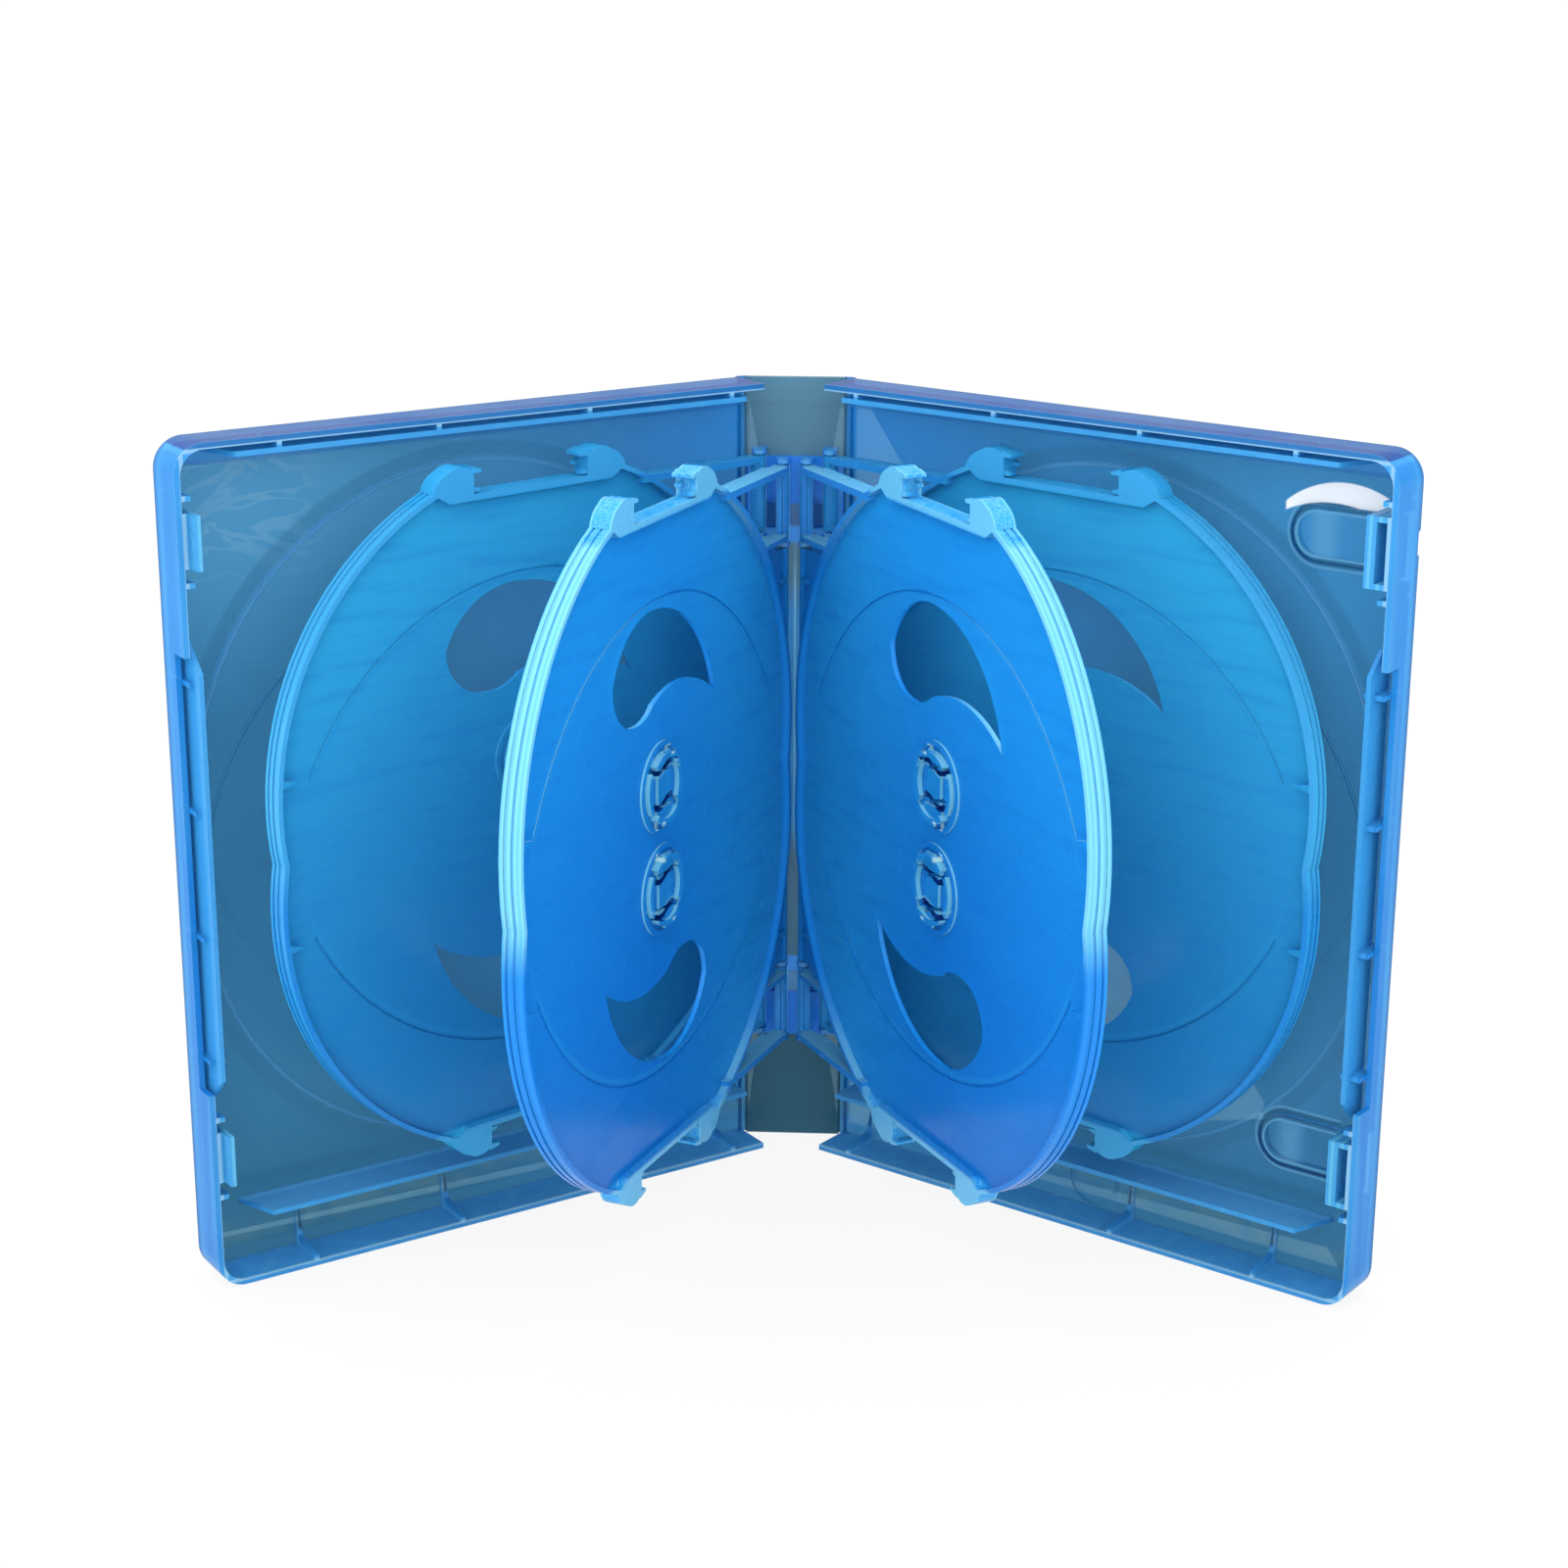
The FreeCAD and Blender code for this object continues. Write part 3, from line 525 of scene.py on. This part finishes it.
def pad_bands(net, own, face):
    beyond = net.math("MINIMUM", net.minus(own.s, PAD_S), 0.0)
    here = net.fall(own.s, PAD_END_S - 1, PAD_END_S + 1)
    for height in PAD_HEIGHTS:
        off = net.distance(net.combine(beyond, own.z), (0, height))
        # Painted highlight: a soft upright band inside the pad.
        inner = net.product(net.fall(off, 4.2, 4.6), net.band(own.s, PAD_S + 1.5, 0.4, 4.0), 0.6)
        face = net.blend(inner, face, srgb(128, 196, 232))
        # Painted shade on the pad's sloped edge, then pale painted lines on both sides of it.
        slope = net.product(net.band(off, 5.5, 0.6, 0.3), here, 0.85)
        face = net.blend(slope, face, srgb(26, 56, 84))
        lines = net.largest(net.band(off, 4.4, 0.12, 0.25), net.band(off, 6.7, 0.12, 0.3))
        face = net.blend(net.product(lines, here, 0.8), face, srgb(130, 200, 238))
    return face


def mirrored_lamp(net, own):
    (outer_centre, outer_r), (inner_centre, inner_r) = LAMP_OUTSIDE, LAMP_INSIDE
    outer = net.fall(net.distance(own.flat, outer_centre), outer_r, outer_r + 0.4)
    inner = net.ramp(net.distance(own.flat, inner_centre), inner_r, inner_r + 0.4)
    ends = net.ramp(own.s, LAMP_END_S - 0.3, LAMP_END_S + 0.3)
    return net.product(outer, inner, ends, net.fall(own.d, 1.3, 1.6), net.ramp(own.d, -0.1, 0.4))


# %% [markdown]
# Walls, shelves and catches stand up from the panel and are seen on edge, so they
# are bright. Light gathers on their inner sides, on the ribs of the catches, on the
# lower shelf and along the corners of the rim. The top face and the outer side stay
# dark: in the photograph they draw a dark outline round the case.

# %% Cover edges
END_WALL, TOP_WALL, FOOT_WALL = 130.0, 170.3, 1.2     # just inside a cover's walls
RIM_LIP = 10.8                      # front of the rim, out of the panel
CATCH_S, CATCH_HALF = 122.0, 7.5    # where the catches start, and half their height
RIB_RATE = 3.2                      # radians a millimetre: a rib every 2 mm
LOWER_SHELF = (13.0, 15.0)          # heights between which the lower shelf lies


def cover_edge(net, own):
    sheen = net.noise(net.combine(own.s, own.d, net.product(own.z, 0.1)), scale=0.2, detail=1)
    edge = net.blend(net.ramp(own.z, 0, 150), srgb(40, 140, 228), srgb(44, 156, 240))
    inside = net.product(net.fall(own.s, END_WALL - 0.5, END_WALL),
                         net.fall(own.z, TOP_WALL - 0.1, TOP_WALL + 0.2),
                         net.ramp(own.z, FOOT_WALL - 0.2, FOOT_WALL + 0.1))
    edge = net.blend(net.product(inside, 0.6), edge, srgb(80, 186, 255))
    edge = net.blend(net.ramp(sheen, 0.45, 0.7, 0.0, 0.4), edge, srgb(90, 192, 250))
    catches = net.largest(*[net.band(own.z, height, CATCH_HALF, 1.0) for height in PAD_HEIGHTS])
    catches = net.product(catches, net.ramp(own.s, CATCH_S - 0.5, CATCH_S + 0.5), inside)
    ribs = net.ramp(net.math("SINE", net.product(own.s, RIB_RATE)), 0.0, 0.95, 0.1, 1.0)
    edge = net.blend(net.product(catches, ribs), edge, srgb(130, 226, 255))
    shelf = net.product(own.level, net.ramp(own.z, LOWER_SHELF[0] - 0.5, LOWER_SHELF[0] + 0.3),
                        net.fall(own.z, LOWER_SHELF[1], LOWER_SHELF[1] + 1))
    return net.blend(shelf, edge, srgb(108, 196, 255))


def rim_lines(net, own, edge):
    roof = net.ramp(own.z, TOP_WALL, TOP_WALL + 0.3, 0.0, 0.95)
    edge = net.blend(roof, edge, srgb(4, 64, 150))
    outline = net.product(net.fall(own.d, 1.0, 3.0), 0.7)
    edge = net.blend(outline, edge, srgb(30, 84, 146))
    lip = net.ramp(own.d, RIM_LIP - 0.4, RIM_LIP)
    edge = net.blend(net.product(lip, 0.35), edge, srgb(90, 190, 248))
    corner = net.largest(net.band(own.s, END_WALL - 0.2, 0.25, 0.3),
                         net.band(own.z, TOP_WALL - 0.1, 0.25, 0.3),
                         net.band(own.z, FOOT_WALL + 0.1, 0.25, 0.3))
    return net.blend(net.product(corner, lip, 0.8), edge, srgb(176, 228, 255))


# %% [markdown]
# A cover is put together like a tray: what stands up from the panel gets the edge
# colour and lets less through. On the right cover the pads come on top of the panel,
# and the mirrored lamp hides what is behind it.

# %% Covers put together
def cover_plastic(body):
    material, net = new_material("blue_plastic_" + body)
    own = Own(net, body)
    low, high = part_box("front_left_tray")
    face = seat_arcs(net, own, panel_colour(net, own, body), (low.z + high.z) / 2 / MM)
    standing = net.largest(own.wall, net.ramp(own.d, 2.6, 3.0))
    see_through = net.minus(0.62, net.product(standing, 0.2))
    if body == "right_cover":
        face = pad_bands(net, own, face)
    colour = net.blend(standing, face, rim_lines(net, own, cover_edge(net, own)))
    if body == "right_cover":
        lamp = mirrored_lamp(net, own)
        colour = net.blend(lamp, colour, srgb(246, 248, 252))
        see_through = net.product(see_through, net.minus(1.0, lamp))
    fine = net.noise(own.place, scale=0.06, detail=2)
    roughness = net.ramp(fine, 0.3, 0.7, 0.14, 0.3)
    finish_plastic(net, colour, srgb(142, 196, 224), see_through, roughness, fine)
    return material


for cover_name in COVERS:
    dress(cover_name, cover_plastic(cover_name))
print("cover plastic on", len(COVERS), "covers")

# %% [markdown]
# The spine is one plate with two rows of hinge lugs. The plate is grey blue above
# and dark teal at the foot, and bluer in the two fluted fields behind the lugs.
# Between the rows light collects behind the front trays: a bright upright strip with
# a pale thread shows in its middle. It is painted on the front side only. The ribs
# and lugs are a strong blue, with pale front faces that read as thin upright bars.

# %% Spine plastic
BLOCK_DZ = 56.1                     # middle of a row of lugs, off the trays' mid height
PLATE_FRONT = 1.25                  # depth beyond which a point belongs to ribs and lugs


def spine_plate(net, across, z, depth, middle):
    """Colour of the plate, and the tint of what shows through it."""
    plate = net.blend(net.ramp(z, 10, 140), srgb(34, 88, 108), srgb(88, 134, 156))
    front_side = net.ramp(depth, 0.5, 0.8)
    column = net.product(net.band(across, 0.0, 2.6, 0.5), net.band(z, middle, 46, 6), front_side)
    strip_share = net.product(column, net.band(z, middle + 8, 22, 10))
    thread = net.product(net.band(across, 0.1, 0.1, 0.25), net.band(z, middle + 12, 24, 12),
                         front_side)
    off_block = net.minus(net.size(net.minus(z, middle)), BLOCK_DZ)
    flutes = net.product(net.band(off_block, 0.0, 9.0, 0.6), net.band(across, 0.0, 10.3, 0.4))
    # Painted shade: the small window between the flutes is a dull grey blue.
    window = net.product(net.band(off_block, -3.4, 2.4, 0.2), net.band(across, 0.0, 0.85, 0.15))
    tint = net.blend(column, srgb(150, 190, 212), srgb(112, 164, 204))
    tint = net.blend(strip_share, tint, srgb(100, 196, 255))
    tint = net.blend(flutes, tint, srgb(104, 190, 255))
    plate = net.blend(strip_share, plate, srgb(34, 140, 230))
    plate = net.blend(thread, plate, srgb(150, 232, 255))
    plate = net.blend(flutes, plate, srgb(44, 148, 252))
    return net.blend(window, plate, srgb(90, 130, 160)), tint


def spine_plastic():
    material, net = new_material("blue_plastic_spine")
    low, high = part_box("front_left_tray")
    source = net.add("ShaderNodeTexCoord")
    place = net.in_mm(source.outputs["Object"])
    across, depth, z = [net.dot(place, axis) for axis in ((1, 0, 0), (0, -1, 0), (0, 0, 1))]
    plate, tint = spine_plate(net, across, z, depth, (low.z + high.z) / 2 / MM)
    cloud = net.noise(place, scale=0.03, detail=4)
    lugs = net.blend(net.ramp(cloud, 0.3, 0.7), srgb(42, 140, 246), srgb(58, 162, 255))
    facing = net.size(net.dot(source.outputs["Normal"], (0, -1, 0)))
    lugs = net.blend(net.ramp(facing, 0.6, 0.9, 0.0, 0.8), lugs, srgb(112, 196, 250))
    colour = net.blend(net.ramp(depth, PLATE_FRONT, PLATE_FRONT + 0.15), plate, lugs)
    roughness = net.ramp(cloud, 0.3, 0.7, 0.15, 0.3)
    finish_plastic(net, colour, tint, 0.35, roughness, cloud)
    return material


dress("spine", spine_plastic())
print("spine plastic done")

# %% [markdown]
# The film sleeve is almost invisible: only its reflections show. A thin gloss shader
# is mixed with a clear one, and a wavy bump breaks up the reflections as real
# loosely wrapped film does. A weld runs along just below its upper edge. Over the
# spine the film is seen through four small windows and stays dark in them, because
# little light gets in between the hinges.

# %% Clear film
WELD_DROP = 3 * MM                  # from the film's upper edge down to the weld
WINDOW_HEIGHTS = (142.2 * MM, 36.7 * MM)
WINDOW_X = 4.95 * MM                # from the middle of the spine to a window's middle


def clear_film(name, windows=False):
    material, net = new_material(name)
    low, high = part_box("left_film")
    place = net.add("ShaderNodeTexCoord").outputs["Object"]
    z = net.dot(place, (0, 0, 1))
    waves = net.noise(place, scale=28, detail=1)
    weld = net.product(net.band(z, high.z - WELD_DROP, 0.3 * MM, 0.3 * MM), 0.3)
    share = net.minus(net.ramp(waves, 0.3, 0.75, 0.95, 0.88), weld)
    colour, tint = srgb(206, 230, 242), srgb(248, 251, 252)
    if windows:
        across = net.size(net.dot(place, (1, 0, 0)))
        rows = net.largest(*[net.band(z, height, 3 * MM, 0.4 * MM) for height in WINDOW_HEIGHTS])
        dusk = net.product(rows, net.band(across, WINDOW_X, 1.3 * MM, 0.4 * MM))
        colour = net.blend(dusk, colour, srgb(44, 106, 160))
        tint = net.blend(dusk, tint, srgb(84, 130, 176))
    roughness = net.ramp(waves, 0.3, 0.7, 0.05, 0.16)
    finish_plastic(net, colour, tint, share, roughness, waves, bump=0.6, coat=0.25)
    return material


film_material = clear_film("clear_film")
dress("left_film", film_material)
dress("right_film", film_material)
dress("spine_film", clear_film("clear_film_spine", windows=True))
print("film on the covers and the spine")

# %% [markdown]
# A living hinge is a web of the same plastic, thin enough to fold. It can't be a rigid solid, so it
# is a strip that curves round the hinge line: one long edge follows the spine, the other the cover.
# It is modelled as a row of narrow columns in plan, so the curve has vertices along it. The film
# lies over it in the same way, so it gets such a strip too.

# %% A strip round the hinge
CASE_Z = [corner.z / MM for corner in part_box("spine")]
FILM_Z = [corner.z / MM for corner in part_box("left_film")]
COLUMNS = 7


def hinge_plan(cover, spine_reach, cover_reach, offset):
    """Plan points from the spine round the hinge line to the cover, with outward sides."""
    pivot, along, out = sheet_axes(cover)
    start = pivot + Vector((-side_of(cover), 0, 0)) * spine_reach * MM
    end = pivot + along * cover_reach * MM
    plan = []
    for k in range(COLUMNS + 1):
        t = k / COLUMNS
        point = start * (1 - t) ** 2 + pivot * 2 * t * (1 - t) + end * t ** 2
        normal = (Vector((0, -1, 0)) * (1 - t) + out * t).normalized()
        plan.append((Vector((point.x, point.y, 0)) - normal * offset * MM, normal))
    return plan, start, end


def strip(name, plan, heights, thick):
    """Closed strip standing on a line of plan points, thickened along each point's side."""
    mesh = bmesh.new()
    rings = []
    for z in heights:
        front = [mesh.verts.new((p.x, p.y, z * MM)) for p, side in plan]
        back = [mesh.verts.new((p.x + side.x * thick * MM, p.y + side.y * thick * MM, z * MM))
                for p, side in plan]
        rings.append(front + back[::-1])
    bottom, top = rings
    for i in range(len(bottom)):
        j = (i + 1) % len(bottom)
        mesh.faces.new((bottom[i], bottom[j], top[j], top[i]))
    mesh.faces.new(bottom[::-1])
    mesh.faces.new(top)
    bmesh.ops.recalc_face_normals(mesh, faces=mesh.faces)
    data = bpy.data.meshes.new(name)
    mesh.to_mesh(data)
    mesh.free()
    piece = bpy.data.objects.new(name, data)
    bpy.context.scene.collection.objects.link(piece)
    return piece


for name, (foot, head) in (("case", CASE_Z), ("film", FILM_Z)):
    print(name, "stands", round(head - foot, 1), "mm high")

# %% [markdown]
# The web joins the spine to the cover and is as thin as a real one. The film bridge reaches further
# in on both sides, so that it overlaps the film panels, and lies just outside the web.

# %% Living hinge webs and the film over them
WEB_REACH, WEB_THICK = 0.9, 0.36    # reach to both sides of the hinge line
BRIDGE_SPINE_REACH, BRIDGE_COVER_REACH = 1.3, 2.1
BRIDGE_OFFSET, BRIDGE_THICK = 0.12, 0.08

for cover_name in COVERS:
    label = cover_name.split("_")[0]
    plan, start, end = hinge_plan(cover_name, WEB_REACH, WEB_REACH, 0.0)
    web = strip(label + "_hinge_web", plan, CASE_Z, WEB_THICK)
    web.data.materials.append(nodes[cover_name].data.materials[0])
    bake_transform(web)
    plan, start, end = hinge_plan(cover_name, BRIDGE_SPINE_REACH, BRIDGE_COVER_REACH, BRIDGE_OFFSET)
    bridge = strip(label + "_film_bridge", plan, FILM_Z, BRIDGE_THICK)
    bridge.data.materials.append(film_material)
    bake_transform(bridge)
    print(web.name, "and", bridge.name, "bend between the spine and the", cover_name)

# %% [markdown]
# The set is a pale floor that runs on as the backdrop. Rays from the camera, mirrored
# ones too, see it almost white. Scattered light meets a plain pale surface instead,
# so the floor gives the plastic no more light than a sheet of paper would. A tenth of
# that paper stays in what the camera sees, which keeps the shadow on the floor.

# %% Floor
FLOOR_REACH = 6.0
FLOOR_DROP = 0.2 * MM               # keeps the floor clear of the case's lower edges
WHITE = (0.99, 0.99, 0.99, 1)


def pale_floor():
    material, net = new_material("pale_floor")
    paper = net.add("ShaderNodeBsdfDiffuse")
    paper.inputs["Color"].default_value = (0.86, 0.86, 0.86, 1)
    white = net.add("ShaderNodeEmission")
    white.inputs["Color"].default_value = WHITE
    rays = net.add("ShaderNodeLightPath").outputs
    mirrored = net.largest(rays["Is Glossy Ray"], rays["Is Transmission Ray"])
    seen = net.largest(rays["Is Camera Ray"], mirrored)
    net.mix_out(net.product(seen, 0.9), paper, white)
    corners = [(x * FLOOR_REACH, y * FLOOR_REACH, 0)
               for x, y in ((-1, -1), (1, -1), (1, 1), (-1, 1))]
    mesh = bpy.data.meshes.new("floor")
    mesh.from_pydata(corners, [], [(0, 1, 2, 3)])
    mesh.materials.append(material)
    floor = bpy.data.objects.new("floor", mesh)
    floor.location.z = -FLOOR_DROP
    bpy.context.scene.collection.objects.link(floor)


pale_floor()
print("floor of", 2 * FLOOR_REACH, "m")

# %% [markdown]
# The photograph was taken in soft light from all round, as in a light tent: there
# are hardly any shadows, and the upper left is a little brighter. So the world is the
# lamp. Its brightness depends on the direction only, rising upwards and to the left.
# The camera itself sees it white.

# %% Light tent
BRIGHTEST = (-0.30, -0.45, 0.84)    # direction of the brightest part of the tent
DIMMEST_GLOW, BRIGHTEST_GLOW = 0.7, 2.1


def light_tent():
    world = bpy.data.worlds.new("light_tent")
    bpy.context.scene.world = world
    world.use_nodes = True
    world.cycles.sampling_method = "NONE"
    net = Net(world.node_tree)
    rise = net.dot(net.add("ShaderNodeTexCoord").outputs["Generated"], BRIGHTEST)
    light = net.add("ShaderNodeBackground")
    light.inputs["Color"].default_value = (0.95, 0.98, 1.0, 1)
    net.feed(light.inputs["Strength"], net.ramp(rise, -0.6, 1.0, DIMMEST_GLOW, BRIGHTEST_GLOW))
    white = net.add("ShaderNodeBackground")
    white.inputs["Color"].default_value = WHITE
    seen = net.add("ShaderNodeLightPath").outputs["Is Camera Ray"]
    net.mix_out(seen, light, white, output="ShaderNodeOutputWorld")


light_tent()
print("the tent glows from", DIMMEST_GLOW, "to", BRIGHTEST_GLOW)

# %% [markdown]
# The camera stands where the photograph was taken from: about 63 cm in front of the
# spine and 28 cm up, looking slightly down. Its place was found by matching the
# case's edges in the photograph. The focal length came out in pixels of that
# picture, so it is turned into millimetres of the camera's sensor.

# %% Camera
PIXELS = 1600
FOCAL_PIXELS = 3074.2
SENSOR = 36.0
CAMERA_PLACE = Vector((0.0305, -0.6279, 0.2757))
PITCH, YAW, ROLL = (math.radians(v) for v in (17.12, -2.98, 0.20))

camera_data = bpy.data.cameras.new("camera")
camera_data.sensor_width = SENSOR
camera_data.lens = SENSOR * FOCAL_PIXELS / PIXELS
camera = bpy.data.objects.new("camera", camera_data)
bpy.context.scene.collection.objects.link(camera)
bpy.context.scene.camera = camera
heading = Vector((math.sin(YAW), math.cos(YAW), 0))
forward = heading * math.cos(PITCH) - Vector((0, 0, math.sin(PITCH)))
right = Vector((math.cos(YAW), -math.sin(YAW), 0))
up = right.cross(forward)
tilted_right = right * math.cos(ROLL) + up * math.sin(ROLL)
tilted_up = up * math.cos(ROLL) - right * math.sin(ROLL)
camera.matrix_world = Matrix((
    (tilted_right.x, tilted_up.x, -forward.x, CAMERA_PLACE.x),
    (tilted_right.y, tilted_up.y, -forward.y, CAMERA_PLACE.y),
    (tilted_right.z, tilted_up.z, -forward.z, CAMERA_PLACE.z),
    (0, 0, 0, 1)))
print("lens", round(camera_data.lens, 2), "mm")

# %% [markdown]
# A light path through this case meets many thin see-through walls, but only the first few
# reflections change the picture. So paths may cross many clear surfaces and bounce only a few
# times, which keeps the render short.

# %% Viewing settings and the end
bpy.context.scene.view_settings.view_transform = "Standard"
cycles = bpy.context.scene.cycles
cycles.transparent_max_bounces = 16
cycles.max_bounces = 3
cycles.diffuse_bounces = 1
cycles.glossy_bounces = 2
